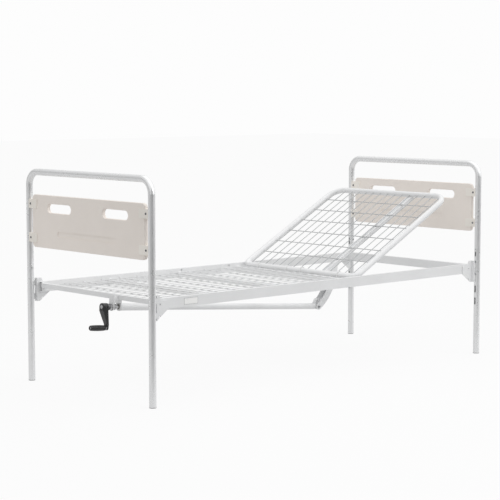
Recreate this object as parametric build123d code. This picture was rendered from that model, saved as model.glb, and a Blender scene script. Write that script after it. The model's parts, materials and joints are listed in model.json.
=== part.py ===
from build123d import *
from math import asin, atan2, cos, degrees, hypot, pi, radians, sin, sqrt
import os

# Adjustable hospital bed: two tube bows with clip-in panels carry a rail frame with a welded
# wire mesh, and a mesh backrest that a hand crank lifts through a screw, a push tube and a lever.
# Millimetres. +X runs from foot to head, +Y to the bed's left as a lying patient sees it, +Z up.

# ---- driving dimensions -------------------------------------------------------------------
BED_LENGTH = 2100.0          # over the two bows
BED_WIDTH = 900.0            # over the legs
BED_HEIGHT = 960.0           # floor to the top of a bow

BOW_OD = 30.0
BOW_WALL = 1.5
BOW_BEND = 62.0              # centreline radius of the two top corners

PLUG_FLANGE = 3.0            # plastic plug under each leg
PLUG_INSERT = 25.0
PLUG_HOLE = 10.0

PANEL_WIDTH = 800.0
PANEL_HEIGHT = 235.0
PANEL_THICK = 18.0
PANEL_BOTTOM = 610.0         # above the floor
PANEL_CORNER = 18.0
PANEL_EDGE = 3.0             # rounding of the moulded edges
SLOT_LENGTH = 175.0          # hand slots
SLOT_HEIGHT = 40.0
SLOT_SPACING = 400.0
SLOT_BELOW_TOP = 57.0
GROOVE_LENGTH = 425.0
GROOVE_HEIGHT = 24.0
GROOVE_DEPTH = 2.5
GROOVE_ABOVE_BOTTOM = 67.0

CLIP_HEIGHT = 40.0
CLIP_GRIP = 35.0             # how far a clip reaches over the panel
CLIP_WALL = 3.0
CLIP_INSET = 42.0            # clip centre from the panel's top and bottom edge
TAB_THICK = 3.0
TAB_HEIGHT = 30.0
SCREW_R = 2.5
SCREW_HEAD_R = 5.0
SCREW_HEAD = 2.5

LADDER_PITCH = 60.0          # hanging slots in each leg
LADDER_COUNT = 5
LADDER_LOW = 264.0
LADDER_SLOT = (8.0, 36.0)    # width, height
PEG_HOLE_Z = 512.0
PEG_HOLE_R = 4.5

RAIL_HEIGHT = 45.0
RAIL_THICK = 20.0
RAIL_WALL = 1.8
RAIL_BOTTOM = 403.0
FRAME_SETBACK = 35.0           # from the legs' middle to the end of the rails
FRAME_WIDTH = 836.0
RAIL_HOLE_R = 3.5
RAIL_HOLES_X = (-182.0, 125.0)
RAIL_HOLE_DOWN = 7.5         # hole centre under the rail's top
FOOT_RAIL_HEIGHT = 21.0
FOOT_RAIL_DOWN = 6.0         # its top under the side rails' top
HEAD_RAIL_HEIGHT = 40.0

BRACKET_THICK = 5.0
BRACKET_REACH = 72.0         # along the rail
BRACKET_BELOW = 43.0         # under the rail
BRACKET_ABOVE = 17.0         # over the rail
BRACKET_FOOT = 14.0
HOOK_HEIGHT = 24.0
HOOK_LIP = 10.0
HOOK_SLACK = 0.5             # between a hook's lip and the inside of the leg

WIRE_R = 2.0
WIRE_SIDE = 7                # wires on each side of the middle one
FLAT_CROSS_WIRES = 10
BACK_CROSS_WIRES = 6
BACK_CROSS_PITCH = 101.0
BACK_CROSS_TOP = 96.0        # top bar to the first cross wire

HINGE_X = 219.0
HINGE_Z = 441.5
REST_ANGLE = 28.3
BACK_OD = 28.0
BACK_WALL = 1.5
BACK_LENGTH = 729.0          # hinge axis to top bar
BACK_GAP = 2.0               # backrest to side rail when flat
BACK_TOP_BEND = 70.0
BACK_LOW_BEND = 35.0
HINGE_TUBE_END = 7.0         # straight stretch of the bent frame before the hinge tube

MEMBER_WIDTH = 25.0          # cross member that carries the hinge
MEMBER_HEIGHT = 30.0
MEMBER_GAP = 10.0            # to the hinge tube
MEMBER_WALL = 2.0
SUPPORT_OD = 25.0            # tubes under the flat mesh
SUPPORT_WALL = 1.5
SUPPORT_STEPS = (3.5, 7.5)   # places between cross wires, in cross wire pitches
EAR_THICK = 6.0
EAR_RING = 3.0               # ear's steel round a bush
EAR_STEPS = (-5.5, -0.5, 1.5, 5.5)   # places between wires, in wire pitches
BUSH_WALL = 2.0
RUNNING_FIT = 0.06
SLIDING_FIT = 0.1
LOOSE = 0.3                  # between faces of moving neighbours

DRIVE_Y = -147.0             # plane of screw, push tube and lever
DRIVE_OUT = 6.0                # bearing centre beyond the foot rail
DRIVE_DOWN = 13.0            # bearing centre under the side rails
BAR_WIDTH = 30.0             # bar under the backrest mesh
BAR_HEIGHT = 15.0
BAR_WALL = 2.0
LEVER_ROOM = 3.0               # each side of the push tube
LEVER_WALL = 3.0
LEVER_DROP = 157.5           # lever pin under the hinge axis, at rest
LEVER_BACK = 24.5            # lever pin towards the foot from the hinge axis, at rest
LEVER_BEND = 236.0           # centreline radius of the curved lever
LEVER_LEAN = 33.0            # slope of its centreline at the pin, degrees above level
LEVER_TOP_LEAN = 90.0        # and where it passes the bar under the mesh
LEVER_TOP_HALF = 18.5
LEVER_PIN_HALF = 15.5
LEVER_WEB_CUT = 46.0
LEVER_PLATE = 4.0
PIN_R = 5.0
PIN_HEAD_R = 8.5
PIN_HEAD = 5.0
PUSH_OD = 28.0
PUSH_WALL = 2.0
GUIDE_WALL = 2.0
GUIDE_LENGTH = 262.0
PUSH_START = 124.0           # bearing centre to the nut end of the push tube, at rest
NUT_LENGTH = 40.0
TONGUE_THICK = 12.0
TONGUE_WALL = 7.0
TONGUE_SLOT_RISE = 24.0      # how far the pin climbs in the tongue
TONGUE_SLACK = 2.2           # along the tube, each side of the pin
SPINDLE_R = 8.0
SPINDLE_END = 262.0          # bearing centre to the screw's free end
PLATE_THICK = 4.0
PLATE_FRONT = -20.0          # bearing plates along the screw, from the bearing centre
PLATE_REAR = 18.0
PLATE_R = 17.0
HANGER_WIDTH = 34.0
HANGER_DOWN = 2.0            # hanger's top under the foot cross rail's top
HANGER_DROP = 18.0           # hanger cheeks end this far above the screw
BOLT_SPACING = 15.0
BUSH_R = 11.0
BUSH_LENGTH = 10.0
COLLAR_R = 14.0
COLLAR_LENGTH = 10.0

HUB_R = 16.0
HUB_LENGTH = 27.0
HUB_FRONT = -72.0            # hub face along the screw, from the bearing centre
CRANK_ARM = 90.0
ARM_END_R = 10.0
ARM_END_THICK = 10.0
ARM_SETBACK = 27.0           # front of the arm's end behind the hub face
GRIP_R = 11.0
GRIP_LENGTH = 78.0
GRIP_AXLE_R = 4.0
GRIP_WASHER = 2.0
GRIP_HEAD_R = 6.5
GRIP_HEAD = 3.0
ROLL_PIN_R = 2.0

LABEL_SIZE = (75.0, 28.0)
LABEL_THICK = 0.3
LABEL_X = -812.0

# ---- derived ------------------------------------------------------------------------------
BOW_R = BOW_OD / 2
LEG_X = BED_LENGTH / 2 - BOW_R
LEG_Y = BED_WIDTH / 2 - BOW_R
BOW_TOP = BED_HEIGHT - BOW_R
PANEL_TOP = PANEL_BOTTOM + PANEL_HEIGHT
CLIP_LEVELS = (PANEL_BOTTOM + CLIP_INSET, PANEL_TOP - CLIP_INSET)
TAB_START = PANEL_WIDTH / 2 + 2
TAB_END = LEG_Y - BOW_R
SCREW_Y = (TAB_START + TAB_END) / 2

RAIL_TOP = RAIL_BOTTOM + RAIL_HEIGHT
RAIL_OUT = FRAME_WIDTH / 2
RAIL_IN = RAIL_OUT - RAIL_THICK
FRAME_END = LEG_X - FRAME_SETBACK
DRIVE_X = -FRAME_END - DRIVE_OUT
LEVER_WIDTH = PUSH_OD + 2 * (LEVER_ROOM + LEVER_WALL)
CROSS_IN = FRAME_END - RAIL_THICK
FOOT_RAIL_TOP = RAIL_TOP - FOOT_RAIL_DOWN
FOOT_RAIL_BOTTOM = FOOT_RAIL_TOP - FOOT_RAIL_HEIGHT
HANGER_TOP = FOOT_RAIL_TOP - HANGER_DOWN

BACK_R = BACK_OD / 2
BACK_SIDE = RAIL_IN - BACK_GAP - BACK_R
MEMBER_END = HINGE_X - BACK_R - MEMBER_GAP
MEMBER_TOP = RAIL_BOTTOM + MEMBER_HEIGHT
WIRE_PITCH = RAIL_IN / (WIRE_SIDE + 1)
WIRE_Y = [WIRE_PITCH * i for i in range(-WIRE_SIDE, WIRE_SIDE + 1)]
LONG_WIRE_Z = MEMBER_TOP + WIRE_R
CROSS_WIRE_Z = LONG_WIRE_Z - 2 * WIRE_R

CROSS_WIRE_PITCH = (MEMBER_END - MEMBER_WIDTH + CROSS_IN) / (FLAT_CROSS_WIRES + 1)

PUSH_R = PUSH_OD / 2
PUSH_BORE = PUSH_R - PUSH_WALL
GUIDE_BORE = PUSH_R + SLIDING_FIT
GUIDE_R = GUIDE_BORE + GUIDE_WALL
DRIVE_Z = RAIL_BOTTOM - DRIVE_DOWN
PIN_X = HINGE_X - LEVER_BACK
PIN_Z = HINGE_Z - LEVER_DROP
DRIVE_REACH = hypot(PIN_X - DRIVE_X, PIN_Z - DRIVE_Z)
DRIVE_TILT = degrees(atan2(DRIVE_Z - PIN_Z, PIN_X - DRIVE_X))
SCREW_FRAME = Pos(DRIVE_X, DRIVE_Y, DRIVE_Z) * Rot(0, DRIVE_TILT, 0)
BACK_FRAME = Pos(HINGE_X, 0, HINGE_Z) * Rot(0, -REST_ANGLE, 0)
HUB_BACK = HUB_FRONT + HUB_LENGTH
ARM_FRONT = HUB_FRONT + ARM_SETBACK


# ---- shape helpers ------------------------------------------------------------------------
def block(low, high):
    """Box between two corners."""
    size = [high[i] - low[i] for i in range(3)]
    middle = [(high[i] + low[i]) / 2 for i in range(3)]
    return Pos(*middle) * Box(*size)


def rod(start, end, radius):
    """Round bar between two points."""
    run = Vector(*end) - Vector(*start)
    return Plane(origin=start, z_dir=run) * Cylinder(radius, run.length, align=(Align.CENTER, Align.CENTER, Align.MIN))


def bent_tube(points, bends, radius, wall):
    """Round tube along straight runs joined by arcs."""
    path = FilletPolyline(*points, radius=bends)
    start = Plane(origin=path @ 0, z_dir=path % 0)
    outer = sweep(start * Circle(radius), path=path)
    inner = sweep(start * Circle(radius - wall), path=path)
    return outer - inner


def box_tube(low, high, axis, wall):
    """Rectangular tube, open at both ends along the numbered axis."""
    inner_low = [low[i] if i == axis else low[i] + wall for i in range(3)]
    inner_high = [high[i] if i == axis else high[i] - wall for i in range(3)]
    return block(low, high) - block(inner_low, inner_high)


def stadium(length, height, depth):
    """Long rounded slot shape across the bed, its depth along X."""
    return Rot(0, 90, 0) * Rot(0, 0, 90) * extrude(SlotOverall(length, height), depth / 2, both=True)


def save(node, solids):
    """Write one node as STEP, moved to the model's origin."""
    pieces = solids if isinstance(solids, list) else [solids]
    pieces = [one for piece in pieces for one in piece.solids()]
    moved = [Pos(ORIGIN_SHIFT, 0, 0) * piece for piece in pieces]
    shape = moved[0] if len(moved) == 1 else Compound(children=moved)
    export_step(shape, f"parts/{node}.step")


# ---- bows, panels and clips ---------------------------------------------------------------
def make_bow(end):
    """Leg-and-head bow at the foot (-1) or head (+1) end, with its ladders of hanging slots."""
    x = end * LEG_X
    points = [(x, -LEG_Y, PLUG_FLANGE), (x, -LEG_Y, BOW_TOP), (x, LEG_Y, BOW_TOP), (x, LEG_Y, PLUG_FLANGE)]
    bow = bent_tube(points, BOW_BEND, BOW_R, BOW_WALL)
    width, height = LADDER_SLOT
    for side in (-1, 1):
        for step in range(LADDER_COUNT):
            z = LADDER_LOW + step * LADDER_PITCH
            slot = Rot(0, 90, 0) * extrude(SlotOverall(height, width), BOW_OD)
            if end > 0:
                slot = Rot(0, 0, 180) * slot
            bow -= Pos(x, side * LEG_Y, z) * slot
        bow -= rod((x, side * (LEG_Y - BOW_OD), PEG_HOLE_Z), (x, side * LEG_Y, PEG_HOLE_Z), PEG_HOLE_R)
        for level in CLIP_LEVELS:
            face = side * TAB_END
            bow -= block_between_y(x - TAB_THICK / 2, x + TAB_THICK / 2, face - side * 1, face + side * 1,
                                   level - TAB_HEIGHT / 2, level + TAB_HEIGHT / 2)
    return bow


def block_between_y(x0, x1, y0, y1, z0, z1):
    """Box whose two Y values may come in either order."""
    return block((x0, min(y0, y1), z0), (x1, max(y0, y1), z1))


def make_leg_plugs():
    """Plastic plugs that close the four legs and rest on the floor."""
    plugs = []
    for x in (-LEG_X, LEG_X):
        for y in (-LEG_Y, LEG_Y):
            flange = rod((x, y, 0), (x, y, PLUG_FLANGE), BOW_R)
            shank = rod((x, y, PLUG_FLANGE), (x, y, PLUG_INSERT), BOW_R - BOW_WALL)
            bore = rod((x, y, PLUG_FLANGE), (x, y, PLUG_INSERT), PLUG_HOLE)
            plugs.append(flange + shank - bore)
    return plugs


def make_panel(end):
    """Moulded end panel with two hand slots and a shallow groove on each face."""
    middle = (PANEL_BOTTOM + PANEL_TOP) / 2
    outline = RectangleRounded(PANEL_WIDTH, PANEL_HEIGHT, PANEL_CORNER)
    panel = Rot(0, 90, 0) * Rot(0, 0, 90) * extrude(outline, PANEL_THICK / 2, both=True)
    for side in (-1, 1):
        slot = stadium(SLOT_LENGTH, SLOT_HEIGHT, 2 * PANEL_THICK)
        panel -= Pos(0, side * SLOT_SPACING / 2, PANEL_TOP - SLOT_BELOW_TOP - middle) * slot
    faces = panel.faces().sort_by(Axis.X)
    panel = fillet(faces[0].edges() + faces[-1].edges(), PANEL_EDGE)
    for side in (-1, 1):
        groove = stadium(GROOVE_LENGTH, GROOVE_HEIGHT, 2 * GROOVE_DEPTH)
        panel -= Pos(side * PANEL_THICK / 2, 0, PANEL_BOTTOM + GROOVE_ABOVE_BOTTOM - middle) * groove
    return Pos(end * LEG_X, 0, middle) * panel


def make_panel_tabs():
    """Flat tabs welded into the legs, one behind each clip."""
    tabs = []
    for x in (-LEG_X, LEG_X):
        for side in (-1, 1):
            for z in CLIP_LEVELS:
                tab = block_between_y(x - TAB_THICK / 2, x + TAB_THICK / 2, side * TAB_START,
                                      side * (TAB_END + 1), z - TAB_HEIGHT / 2, z + TAB_HEIGHT / 2)
                tabs.append(tab - rod((x - TAB_THICK, side * SCREW_Y, z), (x + TAB_THICK, side * SCREW_Y, z), SCREW_R))
    return tabs


def make_panel_clips():
    """Plastic clips that grip the panel's edge and the tab, with a hollow seat for the leg."""
    clips = []
    half = PANEL_THICK / 2 + CLIP_WALL
    for x in (-LEG_X, LEG_X):
        for side in (-1, 1):
            for z in CLIP_LEVELS:
                low = z - CLIP_HEIGHT / 2
                high = z + CLIP_HEIGHT / 2
                edge = side * PANEL_WIDTH / 2
                clip = block_between_y(x - half, x + half, edge - side * CLIP_GRIP, side * LEG_Y, low, high)
                clip = fillet(clip.edges().filter_by(Axis.X), CLIP_WALL)
                clip -= block_between_y(x - PANEL_THICK / 2, x + PANEL_THICK / 2, 0, edge, low, high)
                clip -= block_between_y(x - TAB_THICK / 2, x + TAB_THICK / 2, side * TAB_START, side * LEG_Y,
                                        z - TAB_HEIGHT / 2, z + TAB_HEIGHT / 2)
                clip -= rod((x, side * LEG_Y, low), (x, side * LEG_Y, high), BOW_R)
                clip -= rod((x - half, side * SCREW_Y, z), (x + half, side * SCREW_Y, z), SCREW_R)
                clips.append(clip.solids().sort_by(SortBy.VOLUME)[-1])
    return clips


def make_clip_screws():
    """Through screws of the clips, with a flat head on one face and a cap nut on the other."""
    screws = []
    half = PANEL_THICK / 2 + CLIP_WALL
    for x in (-LEG_X, LEG_X):
        for side in (-1, 1):
            for z in CLIP_LEVELS:
                y = side * SCREW_Y
                shank = rod((x - half, y, z), (x + half, y, z), SCREW_R)
                heads = [rod((x + s * half, y, z), (x + s * (half + SCREW_HEAD), y, z), SCREW_HEAD_R) for s in (-1, 1)]
                screws.append(shank + heads[0] + heads[1])
    return screws


# ---- rail frame ---------------------------------------------------------------------------
def make_side_rail(side):
    """Long rail, open at both ends, with two small holes in its inner wall."""
    y = sorted((side * RAIL_IN, side * RAIL_OUT))
    rail = box_tube((-FRAME_END, y[0], RAIL_BOTTOM), (FRAME_END, y[1], RAIL_TOP), 0, RAIL_WALL)
    z = RAIL_TOP - RAIL_HOLE_DOWN
    for x in RAIL_HOLES_X:
        rail -= rod((x, side * (RAIL_IN - 1), z), (x, side * (RAIL_IN + RAIL_THICK / 2), z), RAIL_HOLE_R)
    return rail


def make_cross_rails():
    """Rails between the side rails, flush with their ends: a low one at the foot, a high one at the head."""
    foot = box_tube((-FRAME_END, -RAIL_IN, FOOT_RAIL_BOTTOM), (-CROSS_IN, RAIL_IN, FOOT_RAIL_TOP), 1, RAIL_WALL)
    head = box_tube((CROSS_IN, -RAIL_IN, RAIL_TOP - HEAD_RAIL_HEIGHT), (FRAME_END, RAIL_IN, RAIL_TOP), 1, RAIL_WALL)
    return cut_bolt_holes(foot), head


def hanger_bolt_axes():
    """Start and end of the two bolts through the hanger and the front wall of the foot cross rail."""
    z = (FOOT_RAIL_BOTTOM + HANGER_TOP) / 2
    start = -FRAME_END - PLATE_THICK
    end = -FRAME_END + RAIL_WALL + SCREW_R
    return [((start, DRIVE_Y + y, z), (end, DRIVE_Y + y, z)) for y in (-BOLT_SPACING / 2, BOLT_SPACING / 2)]


def cut_bolt_holes(piece):
    """Holes for the hanger's bolts."""
    for start, end in hanger_bolt_axes():
        piece -= rod(start, end, SCREW_R)
    return piece


def make_hinge_member():
    """Cross member at the end of the flat mesh, which carries the hinge ears."""
    low = (MEMBER_END - MEMBER_WIDTH, -RAIL_IN, RAIL_BOTTOM)
    return box_tube(low, (MEMBER_END, RAIL_IN, MEMBER_TOP), 1, MEMBER_WALL)


def make_mesh_supports():
    """Round tubes across the frame, under the long wires."""
    z = MEMBER_TOP - SUPPORT_OD / 2
    tubes = []
    for step in SUPPORT_STEPS:
        x = CROSS_WIRE_PITCH * step - CROSS_IN
        outer = rod((x, -RAIL_IN, z), (x, RAIL_IN, z), SUPPORT_OD / 2)
        tubes.append(outer - rod((x, -RAIL_IN, z), (x, RAIL_IN, z), SUPPORT_OD / 2 - SUPPORT_WALL))
    return tubes


def make_flat_long_wires():
    """Wires along the flat part, from the foot cross rail over the hinge member."""
    return [rod((-CROSS_IN, y, LONG_WIRE_Z), (MEMBER_END, y, LONG_WIRE_Z), WIRE_R) for y in WIRE_Y]


def make_flat_cross_wires():
    """Wires across the flat part, under the long ones, from rail to rail."""
    places = [CROSS_WIRE_PITCH * (i + 1) - CROSS_IN for i in range(FLAT_CROSS_WIRES)]
    return [rod((x, -RAIL_IN, CROSS_WIRE_Z), (x, RAIL_IN, CROSS_WIRE_Z), WIRE_R) for x in places]


def hook_levels():
    """The two ladder slots beside the rail that the frame hangs in."""
    levels = [LADDER_LOW + step * LADDER_PITCH for step in range(LADDER_COUNT)]
    middle = (RAIL_BOTTOM + RAIL_TOP) / 2
    return sorted(sorted(levels, key=lambda z: abs(z - middle))[:2])


def make_corner_bracket(end, side):
    """Welded corner plate, bent out to the leg, with two hooks that drop into its slots."""
    bent_at = LEG_X - BOW_R - 8
    low = RAIL_BOTTOM - BRACKET_BELOW
    top = RAIL_TOP + BRACKET_ABOVE
    outline = [(bent_at, low), (bent_at - BRACKET_FOOT, low), (bent_at - BRACKET_REACH, RAIL_BOTTOM),
               (bent_at - BRACKET_REACH, RAIL_TOP - 8), (bent_at - BRACKET_REACH / 2, RAIL_TOP - 8),
               (bent_at - BRACKET_REACH / 3, top), (bent_at, top)]
    wall = Plane.XZ * make_face(Polyline(*outline, close=True))
    plate = Pos(0, RAIL_OUT + BRACKET_THICK, 0) * extrude(wall, BRACKET_THICK)
    for z in (low + BRACKET_FOOT, (RAIL_BOTTOM + RAIL_TOP) / 2):
        plate -= rod((bent_at - 2 * BRACKET_FOOT, 0, z), (bent_at - 2 * BRACKET_FOOT, BED_WIDTH, z), RAIL_HOLE_R)
    flange = block((bent_at - BRACKET_THICK, RAIL_OUT, low), (bent_at, LEG_Y + BRACKET_THICK / 2, top))
    bracket = plate + flange
    inner_face = LEG_X - BOW_R + BOW_WALL
    slot_low = LADDER_SLOT[1] / 2 - LADDER_SLOT[0] / 2
    for z in hook_levels():
        y0 = LEG_Y - BRACKET_THICK / 2
        y1 = LEG_Y + BRACKET_THICK / 2
        base = z - slot_low
        tongue = block((bent_at - 1, y0, base), (inner_face + HOOK_SLACK + BRACKET_THICK, y1, base + HOOK_HEIGHT))
        lip = block((inner_face + HOOK_SLACK, y0, base - HOOK_LIP),
                    (inner_face + HOOK_SLACK + BRACKET_THICK, y1, base + 1))
        bracket += tongue + lip
    if side < 0:
        bracket = mirror(bracket, Plane.XZ)
    if end < 0:
        bracket = mirror(bracket, Plane.YZ)
    return bracket


def make_hinge_ears():
    """Ears welded to the hinge member, each with a round eye for a bush."""
    eye = BACK_R + RUNNING_FIT + BUSH_WALL
    ring_r = eye + EAR_RING
    ears = []
    for step in EAR_STEPS:
        y = step * WIRE_PITCH
        arm = block((MEMBER_END, y - EAR_THICK / 2, RAIL_BOTTOM + 2), (HINGE_X, y + EAR_THICK / 2, MEMBER_TOP))
        ring = rod((HINGE_X, y - EAR_THICK / 2, HINGE_Z), (HINGE_X, y + EAR_THICK / 2, HINGE_Z), ring_r)
        lower = block((MEMBER_END - 2, y - EAR_THICK, MEMBER_TOP), (MEMBER_END, y + EAR_THICK, HINGE_Z + eye))
        ear = arm + ring - lower
        ear -= rod((HINGE_X, y - EAR_THICK, HINGE_Z), (HINGE_X, y + EAR_THICK, HINGE_Z), eye)
        ears.append(ear.solids().sort_by(SortBy.VOLUME)[-1])
    return ears


def make_hinge_bushes():
    """Nylon bushes in the ears, in which the backrest's hinge tube turns."""
    bore = BACK_R + RUNNING_FIT
    bushes = []
    for step in EAR_STEPS:
        y = step * WIRE_PITCH
        start = (HINGE_X, y - EAR_THICK / 2, HINGE_Z)
        end = (HINGE_X, y + EAR_THICK / 2, HINGE_Z)
        bushes.append(rod(start, end, bore + BUSH_WALL) - rod(start, end, bore))
    return bushes


def make_rail_label():
    """Blank sticker on the near rail."""
    length, height = LABEL_SIZE
    z = (RAIL_BOTTOM + RAIL_TOP) / 2
    return block((LABEL_X - length / 2, -RAIL_OUT - LABEL_THICK, z - height / 2),
                 (LABEL_X + length / 2, -RAIL_OUT, z + height / 2))


# ---- screw drive, fixed pieces ------------------------------------------------------------
def make_hanger():
    """Hanger under the foot cross rail: two round-ended bearing plates joined by cheeks."""
    half = HANGER_WIDTH / 2
    rise = HANGER_TOP - DRIVE_Z
    hanger = None
    for x in (PLATE_FRONT, PLATE_REAR):
        plate = block((x, -half, 0), (x + PLATE_THICK, half, rise)) + rod((x, 0, 0), (x + PLATE_THICK, 0, 0), PLATE_R)
        hanger = plate if hanger is None else hanger + plate
    for y in (-half, half - PLATE_THICK):
        hanger += block((PLATE_FRONT, y, HANGER_DROP), (PLATE_REAR + PLATE_THICK, y + PLATE_THICK, rise))
    hanger -= rod((PLATE_FRONT - 1, 0, 0), (PLATE_REAR + PLATE_THICK + 1, 0, 0), BUSH_R)
    hanger = SCREW_FRAME * hanger
    low = FOOT_RAIL_BOTTOM - PLATE_THICK
    base = block((-FRAME_END - PLATE_THICK, DRIVE_Y - half, low), (-FRAME_END, DRIVE_Y + half, HANGER_TOP))
    seat = block((-FRAME_END - PLATE_THICK, DRIVE_Y - half, low),
                 (DRIVE_X + PLATE_REAR + PLATE_THICK, DRIVE_Y + half, FOOT_RAIL_BOTTOM))
    rail = block((-FRAME_END, -RAIL_IN, FOOT_RAIL_BOTTOM), (-CROSS_IN + RAIL_THICK, RAIL_IN, RAIL_TOP))
    return cut_bolt_holes(hanger + base + seat - rail)


def make_hanger_bolts():
    """Bolts that hold the hanger to the front of the foot cross rail."""
    bolts = []
    for start, end in hanger_bolt_axes():
        head_face = (start[0] - SCREW_HEAD, start[1], start[2])
        bolts.append(rod(start, end, SCREW_R) + rod(head_face, start, SCREW_HEAD_R))
    return bolts


def make_screw_bushes():
    """Bronze bushes in the two bearing plates."""
    bushes = []
    for x in (PLATE_FRONT, PLATE_REAR):
        middle = x + PLATE_THICK / 2
        start = (middle - BUSH_LENGTH / 2, 0, 0)
        end = (middle + BUSH_LENGTH / 2, 0, 0)
        bushes.append(SCREW_FRAME * (rod(start, end, BUSH_R) - rod(start, end, SPINDLE_R + RUNNING_FIT)))
    return bushes


def make_guide_tube():
    """Fixed outer tube behind the rear bearing plate, in which the push tube slides."""
    start = (PLATE_REAR + PLATE_THICK, 0, 0)
    end = (PLATE_REAR + PLATE_THICK + GUIDE_LENGTH, 0, 0)
    return SCREW_FRAME * (rod(start, end, GUIDE_R) - rod(start, end, GUIDE_BORE))


# ---- screw drive, moving pieces -----------------------------------------------------------
def make_push_tube():
    """Tube that pushes the lever; it ends short of the lever pin."""
    start = (PUSH_START, 0, 0)
    end = (DRIVE_REACH - PIN_R - TONGUE_SLACK - TONGUE_WALL, 0, 0)
    return SCREW_FRAME * (rod(start, end, PUSH_R) - rod(start, end, PUSH_BORE))


def make_push_tube_end():
    """Plug with a flat tongue; its upright slot lets the lever pin climb."""
    shoulder = DRIVE_REACH - PIN_R - TONGUE_SLACK - TONGUE_WALL
    half_slot = PIN_R + TONGUE_SLACK
    plug = rod((shoulder - 30, 0, 0), (shoulder, 0, 0), PUSH_BORE)
    outline = Pos(0, TONGUE_SLOT_RISE / 2) * SlotCenterToCenter(TONGUE_SLOT_RISE, 2 * (half_slot + TONGUE_WALL),
                                                                rotation=90)
    hole = Pos(0, TONGUE_SLOT_RISE / 2) * SlotCenterToCenter(TONGUE_SLOT_RISE, 2 * half_slot, rotation=90)
    tongue = Plane.XZ * extrude(outline - hole, TONGUE_THICK / 2, both=True)
    neck = block((shoulder, -TONGUE_THICK / 2, -PUSH_BORE), (shoulder + 3, TONGUE_THICK / 2, PUSH_BORE))
    return SCREW_FRAME * (plug + neck + Pos(DRIVE_REACH, 0, 0) * tongue)


def make_screw_nut():
    """Nut pressed into the push tube's foot end."""
    start = (PUSH_START, 0, 0)
    end = (PUSH_START + NUT_LENGTH, 0, 0)
    return SCREW_FRAME * (rod(start, end, PUSH_BORE) - rod(start, end, SPINDLE_R + RUNNING_FIT))


def make_screw():
    """Screw spindle from the crank's hub to its free end inside the push tube."""
    spindle = rod((HUB_FRONT, 0, 0), (SPINDLE_END, 0, 0), SPINDLE_R)
    middle = HUB_FRONT + HUB_LENGTH / 2
    spindle -= rod((middle, -HUB_R, 0), (middle, HUB_R, 0), ROLL_PIN_R)
    return SCREW_FRAME * spindle


def make_thrust_collars():
    """Collars on the screw, one each side of the front bearing plate."""
    bush_half = BUSH_LENGTH / 2
    middle = PLATE_FRONT + PLATE_THICK / 2
    collars = []
    for start in (middle - bush_half - LOOSE - COLLAR_LENGTH, middle + bush_half + LOOSE):
        ends = ((start, 0, 0), (start + COLLAR_LENGTH, 0, 0))
        collars.append(SCREW_FRAME * (rod(*ends, COLLAR_R) - rod(*ends, SPINDLE_R)))
    return collars


def make_crank_arm():
    """Black crank: round hub, arm that narrows and thins towards the grip."""
    drop = -CRANK_ARM
    back = ARM_FRONT + ARM_END_THICK
    end_top = drop + 1.5 * ARM_END_R
    side = Polyline((HUB_FRONT, HUB_R), (HUB_BACK, HUB_R), (HUB_BACK, -HUB_R), (back, end_top),
                    (back, drop - ARM_END_R), (ARM_FRONT, drop - ARM_END_R), (ARM_FRONT, end_top),
                    (HUB_FRONT, -HUB_R), close=True)
    profile = Plane.XZ * extrude(make_face(side), 2 * HUB_R, both=True)
    lean = asin((HUB_R - ARM_END_R) / CRANK_ARM)
    flank = [(s * HUB_R * cos(lean), -HUB_R * sin(lean)) for s in (-1, 1)]
    tip = [(s * ARM_END_R * cos(lean), drop - ARM_END_R * sin(lean)) for s in (1, -1)]
    front = make_face(Polyline(*flank, *tip, close=True))
    front = front + Circle(HUB_R) + Pos(0, drop) * Circle(ARM_END_R)
    outline = Pos(HUB_FRONT - 10, 0, 0) * (Plane.YZ * extrude(front, HUB_LENGTH + 40))
    arm = profile & outline
    arm = fillet(arm.edges().group_by(Axis.X)[0], 2.0)
    arm -= rod((HUB_FRONT - 1, 0, 0), (back + HUB_LENGTH, 0, 0), SPINDLE_R)
    middle = HUB_FRONT + HUB_LENGTH / 2
    arm -= rod((middle, -2 * HUB_R, 0), (middle, 2 * HUB_R, 0), ROLL_PIN_R)
    arm -= rod((ARM_FRONT - 20, 0, drop), (back + 20, 0, drop), GRIP_AXLE_R)
    return SCREW_FRAME * arm


def make_roll_pin():
    """Pin across the hub that keys the crank to the screw."""
    middle = HUB_FRONT + HUB_LENGTH / 2
    return SCREW_FRAME * rod((middle, 1 - HUB_R, 0), (middle, HUB_R - 1, 0), ROLL_PIN_R)


def grip_ends():
    """Where the grip starts beside the arm and where it ends, along the screw."""
    start = ARM_FRONT - GRIP_WASHER - LOOSE
    return start - GRIP_LENGTH, start


def make_grip_axle():
    """Axle riveted in the arm, with a washer behind the grip and a head inside its end."""
    outer, inner = grip_ends()
    z = -CRANK_ARM
    head_face = outer + 2 * GRIP_HEAD
    axle = rod((head_face, 0, z), (ARM_FRONT + ARM_END_THICK, 0, z), GRIP_AXLE_R)
    axle += rod((head_face - GRIP_HEAD, 0, z), (head_face, 0, z), GRIP_HEAD_R)
    axle += rod((ARM_FRONT - GRIP_WASHER, 0, z), (ARM_FRONT, 0, z), GRIP_R - 1)
    return SCREW_FRAME * axle


def make_crank_grip():
    """Barrel grip that turns freely on the axle."""
    outer, inner = grip_ends()
    z = -CRANK_ARM
    grip = fillet(rod((outer, 0, z), (inner, 0, z), GRIP_R).edges(), 3.0)
    grip -= rod((outer - 1, 0, z), (inner + 1, 0, z), GRIP_AXLE_R + RUNNING_FIT)
    grip -= rod((outer - 1, 0, z), (outer + 2 * GRIP_HEAD + LOOSE, 0, z), GRIP_HEAD_R + LOOSE)
    return SCREW_FRAME * grip


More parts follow.
